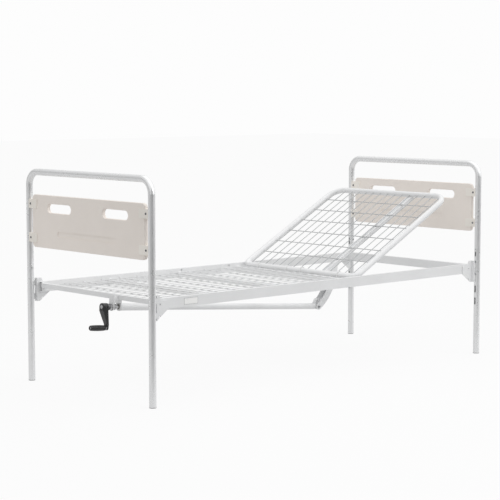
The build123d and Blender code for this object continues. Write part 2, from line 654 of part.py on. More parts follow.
# ---- backrest -----------------------------------------------------------------------------
def make_backrest_frame():
    """Bent tube round three sides of the backrest, its lower ends turned in to the hinge tube."""
    stub = BACK_SIDE - BACK_LOW_BEND - HINGE_TUBE_END
    points = [(0, -stub, 0), (0, -BACK_SIDE, 0), (BACK_LENGTH, -BACK_SIDE, 0), (BACK_LENGTH, BACK_SIDE, 0),
              (0, BACK_SIDE, 0), (0, stub, 0)]
    bends = (BACK_LOW_BEND, BACK_TOP_BEND, BACK_TOP_BEND, BACK_LOW_BEND)
    return BACK_FRAME * bent_tube(points, bends, BACK_R, BACK_WALL)


def make_hinge_tube():
    """Straight tube on the hinge axis, welded between the frame's turned-in ends."""
    half = BACK_SIDE - BACK_LOW_BEND - HINGE_TUBE_END
    ends = ((HINGE_X, -half, HINGE_Z), (HINGE_X, half, HINGE_Z))
    return rod(*ends, BACK_R) - rod(*ends, BACK_R - BACK_WALL)


def back_wire_run(y):
    """Start and end of a long wire at this Y, where it meets the inside of the frame."""
    def reach(bend):
        inside = bend - BACK_R
        past = abs(y) + WIRE_R - (BACK_SIDE - bend)
        return BACK_R if past <= 0 else bend - sqrt(inside ** 2 - past ** 2)
    return reach(BACK_LOW_BEND), BACK_LENGTH - reach(BACK_TOP_BEND)


def make_back_long_wires():
    """Wires up the backrest, from the hinge tube to the top bar."""
    wires = []
    for y in WIRE_Y:
        start, end = back_wire_run(y)
        wires.append(BACK_FRAME * rod((start, y, WIRE_R), (end, y, WIRE_R), WIRE_R))
    return wires


def make_back_cross_wires():
    """Wires across the backrest, under the long ones."""
    half = BACK_SIDE - BACK_R
    places = [BACK_LENGTH - BACK_CROSS_TOP - BACK_CROSS_PITCH * i for i in range(BACK_CROSS_WIRES)]
    return [BACK_FRAME * rod((u, -half, -WIRE_R), (u, half, -WIRE_R), WIRE_R) for u in places]


def make_support_bar():
    """Flat tube under the mesh, from the hinge tube to the top bar, which the lever pushes."""
    top = -2 * WIRE_R
    low = (0, DRIVE_Y - BAR_WIDTH / 2, top - BAR_HEIGHT)
    bar = box_tube(low, (BACK_LENGTH, DRIVE_Y + BAR_WIDTH / 2, top), 0, BAR_WALL)
    for u in (0, BACK_LENGTH):
        bar -= rod((u, -BACK_SIDE, 0), (u, BACK_SIDE, 0), BACK_R)
    bar -= block((-BACK_R, -BACK_SIDE, -2 * BACK_R), (BACK_R / 2, BACK_SIDE, 0))
    bar -= block((BACK_LENGTH - BACK_R / 2, -BACK_SIDE, -2 * BACK_R), (BACK_LENGTH + BACK_R, BACK_SIDE, 0))
    return BACK_FRAME * bar.solids().sort_by(SortBy.VOLUME)[-1]


def lever_band(front_extra, back_less):
    """Curved band of the lever in the drive plane, round at the pin, past the bar at its top."""
    lean = radians(LEVER_LEAN)
    centre = (PIN_X - LEVER_BEND * sin(lean), PIN_Z + LEVER_BEND * cos(lean))
    sweep_angle = radians(LEVER_TOP_LEAN - LEVER_LEAN)

    def at(share, offset):
        angle = lean - pi / 2 + sweep_angle * share
        radius = LEVER_BEND + offset
        return centre[0] + radius * cos(angle), centre[1] + radius * sin(angle)

    def half(share):
        return LEVER_PIN_HALF + (LEVER_TOP_HALF - LEVER_PIN_HALF) * share

    tip_reach = LEVER_PIN_HALF if front_extra == 0 else LEVER_PIN_HALF + front_extra
    tip = (PIN_X - tip_reach * cos(lean), PIN_Z - tip_reach * sin(lean))
    back = ThreePointArc(*[at(share, half(share) - back_less) for share in (1, 0.5, 0)])
    front = ThreePointArc(*[at(share, -half(share) - front_extra) for share in (0, 0.5, 1)])
    end = ThreePointArc(back @ 1, tip, front @ 0)
    return make_face([back, end, front, Line(front @ 1, back @ 0)])


def make_lever():
    """Curved channel, open towards the foot, welded under the support bar by a plate."""
    plane = Plane.XZ.offset(-DRIVE_Y)
    lever = extrude(plane * lever_band(0, 0), LEVER_WIDTH / 2, both=True)
    lever -= extrude(plane * lever_band(40, LEVER_WALL), LEVER_WIDTH / 2 - LEVER_WALL, both=True)
    gap = LEVER_WIDTH / 2 - LEVER_WALL
    lever -= rod((PIN_X, DRIVE_Y - gap, PIN_Z), (PIN_X, DRIVE_Y + gap, PIN_Z), LEVER_WEB_CUT)
    bar_face = -2 * WIRE_R - BAR_HEIGHT
    lever -= BACK_FRAME * block((0, -BACK_SIDE, bar_face), (BACK_LENGTH, BACK_SIDE, LEVER_BEND))
    top = lever.bounding_box().max.X
    mid_u = (top - LEVER_TOP_HALF - HINGE_X) / cos(radians(REST_ANGLE)) - BAR_HEIGHT / 2
    lever += BACK_FRAME * block((mid_u - LEVER_WIDTH * 0.7, DRIVE_Y - LEVER_WIDTH / 2, bar_face - LEVER_PLATE),
                                (mid_u + LEVER_WIDTH * 0.7, DRIVE_Y + LEVER_WIDTH / 2, bar_face))
    lever -= rod((PIN_X, DRIVE_Y - LEVER_WIDTH, PIN_Z), (PIN_X, DRIVE_Y + LEVER_WIDTH, PIN_Z), PIN_R)
    return lever.solids().sort_by(SortBy.VOLUME)[-1]


def make_lever_pin():
    """Bolt through the lever's two cheeks, with a head and a nut outside."""
    half = LEVER_WIDTH / 2
    pin = rod((PIN_X, DRIVE_Y - half, PIN_Z), (PIN_X, DRIVE_Y + half, PIN_Z), PIN_R)
    for side in (-1, 1):
        face = DRIVE_Y + side * half
        pin += rod((PIN_X, face, PIN_Z), (PIN_X, face + side * PIN_HEAD, PIN_Z), PIN_HEAD_R)
    return pin


# ---- write every node ---------------------------------------------------------------------
bows = {"foot": make_bow(-1), "head": make_bow(1)}
cross_rails = make_cross_rails()
crank_grip = make_crank_grip()
ORIGIN_SHIFT = -(crank_grip.bounding_box().min.X + BED_LENGTH / 2) / 2

os.makedirs("parts", exist_ok=True)
save("bow_foot", bows["foot"])
save("bow_head", bows["head"])
save("leg_plugs", make_leg_plugs())
save("panel_foot", make_panel(-1))
save("panel_head", make_panel(1))
save("panel_tabs", make_panel_tabs())
save("panel_clips", make_panel_clips())
save("clip_screws", make_clip_screws())
save("side_rail_left", make_side_rail(1))
save("side_rail_right", make_side_rail(-1))
save("cross_rail_foot", cross_rails[0])
save("cross_rail_head", cross_rails[1])
save("corner_brackets", [make_corner_bracket(end, side) for end in (-1, 1) for side in (-1, 1)])
save("hinge_member", make_hinge_member())
save("mesh_support_tubes", make_mesh_supports())
save("flat_long_wires", make_flat_long_wires())
save("flat_cross_wires", make_flat_cross_wires())
save("hinge_ears", make_hinge_ears())
save("hinge_bushes", make_hinge_bushes())
save("rail_label", make_rail_label())
save("drive_hanger", make_hanger())
save("hanger_bolts", make_hanger_bolts())
save("screw_bushes", make_screw_bushes())
save("guide_tube", make_guide_tube())
save("push_tube", make_push_tube())
save("push_tube_end", make_push_tube_end())
save("screw_nut", make_screw_nut())
save("screw_spindle", make_screw())
save("thrust_collars", make_thrust_collars())
save("crank_arm", make_crank_arm())
save("crank_roll_pin", make_roll_pin())
save("grip_axle", make_grip_axle())
save("crank_grip", crank_grip)
save("backrest_frame", make_backrest_frame())
save("backrest_hinge_tube", make_hinge_tube())
save("backrest_long_wires", make_back_long_wires())
save("backrest_cross_wires", make_back_cross_wires())
save("backrest_support_bar", make_support_bar())
save("lever_arm", make_lever())
save("lever_pin", make_lever_pin())
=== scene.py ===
import bmesh
import bpy
import json
from math import cos, pi, radians, sin
from mathutils import Matrix, Vector, noise


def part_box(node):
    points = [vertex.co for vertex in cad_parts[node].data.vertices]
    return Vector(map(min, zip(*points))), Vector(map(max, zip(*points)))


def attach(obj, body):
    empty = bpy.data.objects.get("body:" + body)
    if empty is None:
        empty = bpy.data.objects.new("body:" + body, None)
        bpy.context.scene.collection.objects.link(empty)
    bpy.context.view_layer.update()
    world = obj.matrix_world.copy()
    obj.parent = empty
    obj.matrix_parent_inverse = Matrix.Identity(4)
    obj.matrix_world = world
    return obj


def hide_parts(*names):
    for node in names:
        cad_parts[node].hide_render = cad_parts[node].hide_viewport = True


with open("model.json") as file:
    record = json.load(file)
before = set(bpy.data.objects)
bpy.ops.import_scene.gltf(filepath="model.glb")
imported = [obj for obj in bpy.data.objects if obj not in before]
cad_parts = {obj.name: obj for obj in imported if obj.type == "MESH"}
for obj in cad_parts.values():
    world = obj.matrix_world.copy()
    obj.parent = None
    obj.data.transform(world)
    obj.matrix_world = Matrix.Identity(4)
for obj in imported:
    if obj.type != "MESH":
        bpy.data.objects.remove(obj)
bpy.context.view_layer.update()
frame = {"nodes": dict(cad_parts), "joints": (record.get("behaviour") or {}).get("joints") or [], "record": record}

# Looks of the adjustable hospital bed. Metres, +Z up, +X from the foot end to the head end.

NODES = frame["nodes"]
JOINTS = {joint["name"]: joint for joint in frame["joints"]}

# ---- camera and light ------------------------------------------------------------------------
CAMERA_FROM_BED = (-5.1173, -5.5126)  # from the bed's middle, in plan
CAMERA_HEIGHT = 1.3011
CAMERA_TURN = 0.73878                 # from +Y towards +X
CAMERA_TILT = 0.09895                 # downwards
CAMERA_LENS = 115.09                  # millimetres, on a 36 mm sensor
BACKGROUND = 0.982
SKY_LOW = 0.20
SKY_HIGH = 1.42
SKY_SIDE = (0.25, -0.68, 0.68)        # where the studio is brightest
DARK_SIDE = (-0.30, -0.95, 0.00)      # the unlit room behind the photographer
DARK_START = 0.74                     # cosine at which it begins
DARK_DEPTH = 0.95
FLOOR_GLOW = 0.86                     # light of the floor itself, so that shadows on it stay faint
FLOOR_BOUNCE = 0.62                   # what the bed receives of it nearby
FLOOR_DARK_START = 0.9                # metres towards the dark side, where it begins to fade
FLOOR_DARK_END = 2.2                  # and where it has gone

# ---- colours, linear ---------------------------------------------------------------------------
PAINT = (0.81, 0.815, 0.82)
PAINT_SHADE = (0.785, 0.79, 0.795)
WIRE = (0.72, 0.725, 0.73)
WIRE_SHADE = (0.66, 0.665, 0.67)
# backrest wires: the same wire paint darkened as painted shade, for the shaded side of the sloping wires that the
# camera sees
PAINTED_SHADE_WIRE = (0.50, 0.51, 0.515)
PAINTED_SHADE_WIRE_SHADE = (0.44, 0.45, 0.455)
BOW = (0.86, 0.865, 0.87)
BOW_SHADE = (0.84, 0.845, 0.85)
PANEL = (0.890, 0.830, 0.775)
PANEL_SHADE = (0.872, 0.812, 0.757)
CLIP = (0.92, 0.88, 0.82)
CLIP_SHADE = (0.87, 0.83, 0.77)
PLUG = (0.36, 0.36, 0.365)
PLUG_SHADE = (0.28, 0.28, 0.285)
STEEL = (0.56, 0.56, 0.57)
STEEL_SHADE = (0.42, 0.42, 0.43)
ZINC = (0.30, 0.30, 0.31)
ZINC_SHADE = (0.18, 0.18, 0.19)
BRONZE = (0.36, 0.345, 0.325)
BRONZE_SHADE = (0.28, 0.265, 0.245)
NYLON = (0.68, 0.68, 0.65)
NYLON_SHADE = (0.58, 0.58, 0.55)
BLACK = (0.006, 0.006, 0.0065)
BLACK_SHADE = (0.010, 0.010, 0.011)
LABEL = (0.93, 0.93, 0.92)
LABEL_SHADE = (0.90, 0.90, 0.89)
LABEL_LINE = (0.42, 0.42, 0.43)
LABEL_LINE_SHADE = (0.36, 0.36, 0.37)
FLOOR = (0.10, 0.10, 0.10)

# ---- details, metres ---------------------------------------------------------------------------
WELD = 0.0022              # radius of a bead on the frame
WIRE_WELD = 0.0012         # and where a wire ends
SPOT_WIDTH = 1.6           # spot weld's radius, in wire radii
SPOT_HEIGHT = 0.75
BEAD_SIDES = 8
BEAD_STEP = 0.9            # ripple's length, in bead radii
BEAD_END = 0.55            # how small the bead ends
SMOOTH_ANGLE = 35          # degrees
GUIDE_RADIUS = 0.016
GRIP_CROWN = 0.0017        # how far the grip's middle swells over its cylinder
GRIP_GROOVE = 0.0007
GRIP_BORE = 0.0043
GRIP_MOUTH = 0.0068        # wider bore at the free end, round the axle's head
GRIP_MOUTH_DEPTH = 0.0063
GRIP_ROUND = 0.003         # length of the rounding at each end
GRIP_STEPS = 40
GRIP_GROOVES = (4, 7, 33, 36)
LABEL_EDGE = 0.0012
LABEL_PROUD = 0.0002
SCREW_HEAD = 0.0025
SCREW_RADIUS = 0.0025
PIN_HEAD = 0.005
PIN_RADIUS = 0.005
BAR_HEIGHT = 0.015
LEVER_PLATE = 0.004
LEVER_PLATE_LENGTH = 0.056


# ---- materials -------------------------------------------------------------------------------
def rgba(colour):
    """Colour with full opacity."""
    return (*colour, 1.0)


class Finish:
    """One procedural material: cloudy colour, uneven roughness and a fine bump."""

    def __init__(self, name, metallic=0.0, coat=0.0, specular=0.5):
        self.material = bpy.data.materials.new(name)
        self.material.use_nodes = True
        self.tree = self.material.node_tree
        self.shader = self.tree.nodes["Principled BSDF"]
        self.shader.inputs["Metallic"].default_value = metallic
        self.shader.inputs["Coat Weight"].default_value = coat
        self.shader.inputs["Coat Roughness"].default_value = 0.12
        self.shader.inputs["Specular IOR Level"].default_value = specular
        self.place = self.tree.nodes.new("ShaderNodeTexCoord").outputs["Object"]
        self.height = None

    def noise(self, scale, detail=3.0, stretch=None):
        """Noise over the object's own space, drawn out along an axis if stretch is given."""
        texture = self.tree.nodes.new("ShaderNodeTexNoise")
        texture.inputs["Scale"].default_value = scale
        texture.inputs["Detail"].default_value = detail
        source = self.place
        if stretch:
            mapping = self.tree.nodes.new("ShaderNodeMapping")
            mapping.inputs["Scale"].default_value = stretch
            self.tree.links.new(self.place, mapping.inputs["Vector"])
            source = mapping.outputs["Vector"]
        self.tree.links.new(source, texture.inputs["Vector"])
        return texture.outputs["Fac"]

    def cells(self, scale):
        """Distance to the nearest of many scattered points."""
        texture = self.tree.nodes.new("ShaderNodeTexVoronoi")
        texture.inputs["Scale"].default_value = scale
        self.tree.links.new(self.place, texture.inputs["Vector"])
        return texture.outputs["Distance"]

    def between(self, factor, low, high):
        """Factor's middle range spread from low to high."""
        node = self.tree.nodes.new("ShaderNodeMapRange")
        node.inputs["From Min"].default_value = 0.35
        node.inputs["From Max"].default_value = 0.65
        node.inputs["To Min"].default_value = low
        node.inputs["To Max"].default_value = high
        self.tree.links.new(factor, node.inputs["Value"])
        return node.outputs["Result"]

    def colours(self, factor, main, shade):
        """Base colour from shade to main along a factor."""
        ramp = self.tree.nodes.new("ShaderNodeValToRGB")
        ramp.color_ramp.elements[0].position = 0.38
        ramp.color_ramp.elements[0].color = rgba(shade)
        ramp.color_ramp.elements[1].position = 0.62
        ramp.color_ramp.elements[1].color = rgba(main)
        self.tree.links.new(factor, ramp.inputs["Fac"])
        self.tree.links.new(ramp.outputs["Color"], self.shader.inputs["Base Color"])

    def roughness(self, factor, low, high):
        """Roughness between two values."""
        self.tree.links.new(self.between(factor, low, high), self.shader.inputs["Roughness"])

    def bump(self, factor, depth):
        """Adds a bump of a given depth in metres on top of earlier ones."""
        node = self.tree.nodes.new("ShaderNodeBump")
        node.inputs["Distance"].default_value = depth
        self.tree.links.new(factor, node.inputs["Height"])
        if self.height is not None:
            self.tree.links.new(self.height, node.inputs["Normal"])
        self.height = node.outputs["Normal"]
        self.tree.links.new(self.height, self.shader.inputs["Normal"])


def powder_coat(name, main, shade, low, high, coat=0.0, metallic=0.0, peel=0.00003):
    """Thick baked paint with a slight orange peel."""
    finish = Finish(name, metallic=metallic, coat=coat)
    finish.colours(finish.noise(7.0, 4.0), main, shade)
    finish.roughness(finish.noise(24.0), low, high)
    finish.bump(finish.noise(110.0, 1.0), peel)
    return finish.material


def moulded(name, main, shade, low, high, grain=1400.0, depth=0.00010):
    """Moulded plastic with a spark-eroded grain."""
    finish = Finish(name, specular=0.4)
    finish.colours(finish.noise(9.0, 5.0), main, shade)
    finish.roughness(finish.noise(45.0), low, high)
    finish.bump(finish.cells(grain), depth)
    finish.bump(finish.noise(35.0, 2.0), 0.00015)
    return finish.material


def bare_metal(name, main, shade, low, high, stretch):
    """Drawn or plated metal with fine lines along the stretch."""
    finish = Finish(name, metallic=1.0)
    finish.colours(finish.noise(40.0, 5.0), main, shade)
    finish.roughness(finish.noise(220.0, 4.0, stretch), low, high)
    finish.bump(finish.noise(1200.0, 3.0, stretch), 0.00003)
    return finish.material


def black_paint(name, low, high, grain, depth):
    """Black coat with dust-fine colour change."""
    finish = Finish(name, coat=0.25)
    finish.colours(finish.noise(90.0, 5.0), BLACK, BLACK_SHADE)
    finish.roughness(finish.noise(120.0), low, high)
    finish.bump(finish.noise(grain, 3.0), depth)
    return finish.material


MATERIALS = {
    "frame_paint": powder_coat("frame_paint", PAINT, PAINT_SHADE, 0.30, 0.42, coat=0.15),
    "wire_paint": powder_coat("wire_paint", WIRE, WIRE_SHADE, 0.32, 0.46),
    "panel_laminate": moulded("panel_laminate", PANEL, PANEL_SHADE, 0.46, 0.60),
    "clip_plastic": moulded("clip_plastic", CLIP, CLIP_SHADE, 0.42, 0.56),
    "plug_plastic": moulded("plug_plastic", PLUG, PLUG_SHADE, 0.50, 0.70),
    "screw_steel": bare_metal("screw_steel", ZINC, ZINC_SHADE, 0.32, 0.50, (1.0, 1.0, 1.0)),
    "spindle_steel": bare_metal("spindle_steel", STEEL, STEEL_SHADE, 0.20, 0.34, (0.1, 1.0, 1.0)),
    "bush_nylon": moulded("bush_nylon", NYLON, NYLON_SHADE, 0.40, 0.50, 900.0, 0.00004),
    "bush_bronze": bare_metal("bush_bronze", BRONZE, BRONZE_SHADE, 0.35, 0.52, (1.0, 1.0, 1.0)),
    "crank_black": black_paint("crank_black", 0.26, 0.40, 420.0, 0.00018),
    "grip_black": black_paint("grip_black", 0.30, 0.44, 1300.0, 0.00006),
    "label_film": moulded("label_film", LABEL, LABEL_SHADE, 0.24, 0.34, 700.0, 0.00002),
}


BOW_PAINT = powder_coat("bow_paint", BOW, BOW_SHADE, 0.27, 0.32, coat=0.1, metallic=0.55, peel=0.000004)
# darker copy of the wire paint for the backrest wires: painted shade, not a different finish
PAINTED_SHADE_BACK_WIRE = powder_coat("backrest_wire_painted_shade", PAINTED_SHADE_WIRE, PAINTED_SHADE_WIRE_SHADE, 0.34, 0.46)
LABEL_GREY = moulded("label_grey", LABEL_LINE, LABEL_LINE_SHADE, 0.24, 0.34, 700.0, 0.00002)
COATS = {"bow_foot": BOW_PAINT, "bow_head": BOW_PAINT,
         "backrest_long_wires": PAINTED_SHADE_BACK_WIRE, "backrest_cross_wires": PAINTED_SHADE_BACK_WIRE}


def dress_cad_nodes():
    """Gives the bows and the backrest wires their own coats, the backrest wires' coat being the wire paint
    darkened as painted shade, or else the material of its slot.
    """
    for part in frame["record"]["subparts"]:
        mesh = NODES[part["node"]].data
        mesh.materials.clear()
        mesh.materials.append(COATS.get(part["node"], MATERIALS[part["material_slot"]]))


# ---- mesh helpers ------------------------------------------------------------------------------
class Builder:
    """Collects the faces of one new piece."""

    def __init__(self):
        self.mesh = bmesh.new()

    def ring_stack(self, rings, closed_ends=True):
        """Skin over rings with equal numbers of points."""
        made = [[self.mesh.verts.new(point) for point in ring] for ring in rings]
        for low, high in zip(made, made[1:]):
            count = len(low)
            for i in range(count):
                self.mesh.faces.new((low[i], low[(i + 1) % count], high[(i + 1) % count], high[i]))
        if closed_ends:
            self.mesh.faces.new(list(reversed(made[0])))
            self.mesh.faces.new(made[-1])

    def lathe(self, place, profile, sides=24, solid=True):
        """Turned shape: profile gives (distance along local Z, radius), back to its start if hollow."""
        self.ring_stack([[place @ Vector(spot) for spot in turned(along, radius, False, sides)]
                         for along, radius in profile], closed_ends=solid)

    def bolt(self, start, end, radius, head, tall, sides=24):
        """Bolt between two faces: a domed head with a hexagon socket at start, a hexagon nut at end."""
        axis = (Vector(end) - Vector(start)).normalized()
        grip = (Vector(end) - Vector(start)).length
        place = looking(Vector(start), axis)
        socket = 0.42 * head
        # each ring: distance along the bolt, radius, whether it is a hexagon
        socket_and_dome = [(-0.35 * tall, socket, True), (-tall, socket, True), (-tall, 0.50 * head, False),
                           (-0.92 * tall, 0.64 * head, False), (-0.66 * tall, 0.86 * head, False),
                           (-0.30 * tall, head, False), (0.0, head, False)]
        shank = [(0.0, radius, False), (grip, radius, False)]
        nut = [(grip, head, False), (grip + 0.20 * tall, head, False), (grip + 0.25 * tall, 0.95 * head, True),
               (grip + 0.85 * tall, 0.95 * head, True), (grip + tall, 0.80 * head, True),
               (grip + tall, 0.62 * head, False), (grip + 0.90 * tall, radius * 0.9, False)]
        self.ring_stack([[place @ Vector(spot) for spot in turned(along, size, six, sides)]
                         for along, size, six in socket_and_dome + shank + nut])

    def spot(self, centre, up, radius, height, seed):
        """Flattened spot weld, a little different in size each time."""
        place = looking(Vector(centre), up)
        size = radius * (1.0 + 0.18 * noise.noise(Vector(centre) * 90 + Vector((seed, 0, 0))))
        profile = [(-height, 0.45), (-0.6 * height, 0.85), (0.0, 1.0), (0.6 * height, 0.85), (height, 0.45)]
        self.ring_stack([[place @ Vector(spot) for spot in turned(along, share * size, False, BEAD_SIDES)]
                         for along, share in profile])

    def bead(self, points, radius, seed):
        """Weld bead of overlapping ripples along a line of points."""
        line = [Vector(point) for point in points]
        length = sum((b - a).length for a, b in zip(line, line[1:]))
        count = max(3, int(length / (radius * BEAD_STEP)))
        rings = []
        for i in range(count + 1):
            share = i / count
            spot, run = walk(line, share)
            side = run.orthogonal().normalized()
            other = run.cross(side)
            ripple = 0.88 + 0.16 * (i % 2) + 0.14 * noise.noise(spot * 160 + Vector((seed, 0, 0)))
            size = radius * ripple * (BEAD_END if i in (0, count) else 1.0)
            angles = [2 * pi * k / BEAD_SIDES for k in range(BEAD_SIDES)]
            rings.append([spot + side * size * cos(angle) + other * size * sin(angle) for angle in angles])
        self.ring_stack(rings)

    def finish(self, name, body, slot, smooth=True):
        """Turns the collected faces into an object that rides on a body."""
        bmesh.ops.remove_doubles(self.mesh, verts=self.mesh.verts, dist=1e-7)
        bmesh.ops.recalc_face_normals(self.mesh, faces=self.mesh.faces)
        data = bpy.data.meshes.new(name)
        self.mesh.to_mesh(data)
        self.mesh.free()
        data.polygons.foreach_set("use_smooth", [smooth] * len(data.polygons))
        piece = bpy.data.objects.new(name, data)
        bpy.context.scene.collection.objects.link(piece)
        data.materials.append(MATERIALS[slot])
        if smooth:
            data.set_sharp_from_angle(angle=radians(SMOOTH_ANGLE))
        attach(piece, body)
        return piece


def turned(along, radius, six, sides):
    """One ring around local Z: round, or a hexagon that fits in the same circle."""
    ring = []
    for i in range(sides):
        angle = 2 * pi * i / sides
        size = radius * cos(pi / 6) / cos(angle % (pi / 3) - pi / 6) if six else radius
        ring.append((size * cos(angle), size * sin(angle), along))
    return ring


def circle(centre, axis, radius, steps=24):
    """Points around a closed circle."""
    place = looking(Vector(centre), axis)
    ring = turned(0.0, radius, False, steps)
    return [place @ Vector(spot) for spot in ring + ring[:1]]


def walk(line, share):
    """Point and unit direction at a share of a polyline's length."""
    lengths = [(b - a).length for a, b in zip(line, line[1:])]
    left = share * sum(lengths)
    for (a, b), length in zip(zip(line, line[1:]), lengths):
        if left <= length or (a, b) == (line[-2], line[-1]):
            return a.lerp(b, min(1.0, left / length)), (b - a).normalized()
        left -= length


def islands(node):
    """Boxes of the separate solids in a CAD node."""
    mesh = NODES[node].data
    home = list(range(len(mesh.vertices)))

    def root(i):
        while home[i] != i:
            home[i] = home[home[i]]
            i = home[i]
        return i

    spots = {}
    for vertex in mesh.vertices:
        key = tuple(round(c, 6) for c in vertex.co)
        home[vertex.index] = root(spots.setdefault(key, vertex.index))
    for edge in mesh.edges:
        home[root(edge.vertices[0])] = root(edge.vertices[1])
    boxes = {}
    for vertex in mesh.vertices:
        low, high = boxes.setdefault(root(vertex.index), (vertex.co.copy(), vertex.co.copy()))
        for axis in range(3):
            low[axis] = min(low[axis], vertex.co[axis])
            high[axis] = max(high[axis], vertex.co[axis])
    return sorted(boxes.values(), key=lambda box: tuple(round(c, 4) for c in box[0]))


def looking(point, direction):
    """Matrix that carries local Z onto a direction, at a point."""
    return Matrix.Translation(point) @ Vector(direction).to_track_quat("Z", "Y").to_matrix().to_4x4()


# ---- details -----------------------------------------------------------------------------------
def middle(box):
    """Middle of a box."""
    return (box[0] + box[1]) / 2


def slope(box):
    """Unit directions along a sloping piece and square to it, from its box."""
    run = Vector((box[1].x - box[0].x, 0, box[1].z - box[0].z)).normalized()
    return run, Vector((-run.z, 0, run.x))


def weld_frame():
    """Beads along the seams of the fixed frame."""
    work = Builder()
    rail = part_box("side_rail_left")
    wall = rail[0].y
    face = rail[1].y
    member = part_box("hinge_member")
    for side in (-1, 1):
        for node in ("cross_rail_foot", "cross_rail_head", "hinge_member"):
            low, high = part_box(node)
            for x in (low.x, high.x):
                work.bead([(x, side * wall, low.z), (x, side * wall, high.z)], WELD, x)
            for z in (low.z, high.z):
                if z < rail[1].z - WELD:
                    work.bead([(low.x, side * wall, z), (high.x, side * wall, z)], WELD, z)
        for box in islands("mesh_support_tubes"):
            centre = middle(box)
            radius = (box[1].z - box[0].z) / 2
            work.bead(circle((centre.x, side * wall, centre.z), (0, 1, 0), radius), WELD, centre.x)
    for low, high in islands("corner_brackets"):
        side = 1 if low.y > 0 else -1
        start = max(low.x, rail[0].x)
        end = min(high.x, rail[1].x)
        work.bead([(start, side * face, rail[0].z), (end, side * face, rail[0].z)], WELD, low.x)
    for low, high in islands("hinge_ears"):
        for y in (low.y, high.y):
            work.bead([(member[1].x, y, low.z + WELD), (member[1].x, y, member[1].z - WELD)], WELD, y)
    spin = JOINTS["screw_spin"]
    axis = Vector(spin["axis"]).normalized()
    spot = Vector(spin["pos_m"])
    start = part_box("drive_hanger")[1].x
    work.bead(circle(spot + axis * ((start - spot.x) / axis.x), axis, GUIDE_RADIUS), WELD, 3.0)
    work.finish("frame_welds", "frame", "frame_paint")


def weld_backrest():
    """Beads where the support bar, the hinge tube and the lever's plate meet the backrest."""
    work = Builder()
    hinge = Vector(JOINTS["backrest_hinge"]["pos_m"])
    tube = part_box("backrest_hinge_tube")
    radius = (tube[1].z - tube[0].z) / 2
    for y in (tube[0].y, tube[1].y):
        work.bead(circle((hinge.x, y, hinge.z), (0, 1, 0), radius), WELD, y)
    low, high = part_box("backrest_support_bar")
    run, lift = slope(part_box("backrest_long_wires"))
    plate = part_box("lever_arm")[1]
    for y in (low.y, high.y):
        top = Vector((high.x - BAR_HEIGHT * run.z, y, high.z))
        bottom = Vector((low.x + BAR_HEIGHT * run.z, y, low.z))
        seam = Vector((plate.x - LEVER_PLATE * run.z, y, plate.z))
        work.bead([top, top - lift * BAR_HEIGHT], WELD, y)
        work.bead([bottom, bottom + lift * BAR_HEIGHT], WELD, y)
        work.bead([seam, seam - run * LEVER_PLATE_LENGTH], WELD, y)
    work.finish("backrest_welds", "backrest", "frame_paint")


def weld_wires(name, body, long_wires, cross_wires):
    """Spot welds at every crossing of a wire mesh."""
    work = Builder()
    for cross in islands(cross_wires):
        centre = middle(cross)
        for wire in islands(long_wires):
            share = (centre.x - wire[0].x) / (wire[1].x - wire[0].x)
            if 0.0 < share < 1.0:
                half = (wire[1].y - wire[0].y) / 2
                up = slope(wire)[1]
                spot = Vector((centre.x, middle(wire).y, centre.z)) + up * half
                work.spot(spot, up, SPOT_WIDTH * half, SPOT_HEIGHT * half, centre.x)
    work.finish(name, body, "wire_paint")


def weld_wire_ends():
    """Small rings of weld where the flat wires end on the rails and cross members."""
    work = Builder()
    for low, high in islands("flat_cross_wires"):
        for y in (low.y, high.y):
            centre = middle((low, high))
            work.bead(circle((centre.x, y, centre.z), (0, 1, 0), (high.z - low.z) / 2, 10), WIRE_WELD, y)
    for low, high in islands("flat_long_wires"):
        for x in (low.x, high.x):
            centre = middle((low, high))
            work.bead(circle((x, centre.y, centre.z), (1, 0, 0), (high.z - low.z) / 2, 10), WIRE_WELD, x)
    work.finish("wire_end_welds", "frame", "wire_paint")


def make_screws():
    """Button-head screws with nuts through the panel clips."""
    work = Builder()
    for low, high in islands("clip_screws"):
        centre = middle((low, high))
        outer, inner = (low.x, high.x) if centre.x < 0 else (high.x, low.x)
        step = SCREW_HEAD if centre.x < 0 else -SCREW_HEAD
        work.bolt((outer + step, centre.y, centre.z), (inner - step, centre.y, centre.z), SCREW_RADIUS,
                  (high.z - low.z) / 2, SCREW_HEAD)
    piece = work.finish("button_screws", "frame", "screw_steel")
    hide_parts("clip_screws")


def make_grip():
    """Turned hand grip: swollen in the middle, with rounded ends and four fine grooves."""
    spin = JOINTS["grip_spin"]
    axis = Vector(spin["axis"]).normalized()
    low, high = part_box("crank_grip")
    radius = (high.y - low.y) / 2
    spread = [vertex.co.dot(axis) for vertex in NODES["crank_grip"].data.vertices]
    foot = Vector(spin["pos_m"]) + axis * (min(spread) - Vector(spin["pos_m"]).dot(axis))
    length = max(spread) - min(spread)
    profile = [(0.0, GRIP_MOUTH), (0.0, 0.80 * radius), (0.0010, 0.93 * radius), (GRIP_ROUND, radius)]
    for i in range(1, GRIP_STEPS):
        share = i / GRIP_STEPS
        crown = GRIP_CROWN * sin(pi * share) ** 0.6
        groove = GRIP_GROOVE if i in GRIP_GROOVES else 0.0
        profile.append((GRIP_ROUND + share * (length - 2 * GRIP_ROUND), radius + crown - groove))
    profile += [(length - GRIP_ROUND, radius), (length - 0.0010, 0.93 * radius), (length, 0.80 * radius),
                (length, GRIP_BORE), (GRIP_MOUTH_DEPTH, GRIP_BORE), (GRIP_MOUTH_DEPTH, GRIP_MOUTH)]
    work = Builder()
    work.lathe(looking(foot, axis), profile + profile[:1], sides=40, solid=False)
    piece = work.finish("turned_grip", "grip", "grip_black")
    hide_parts("crank_grip")


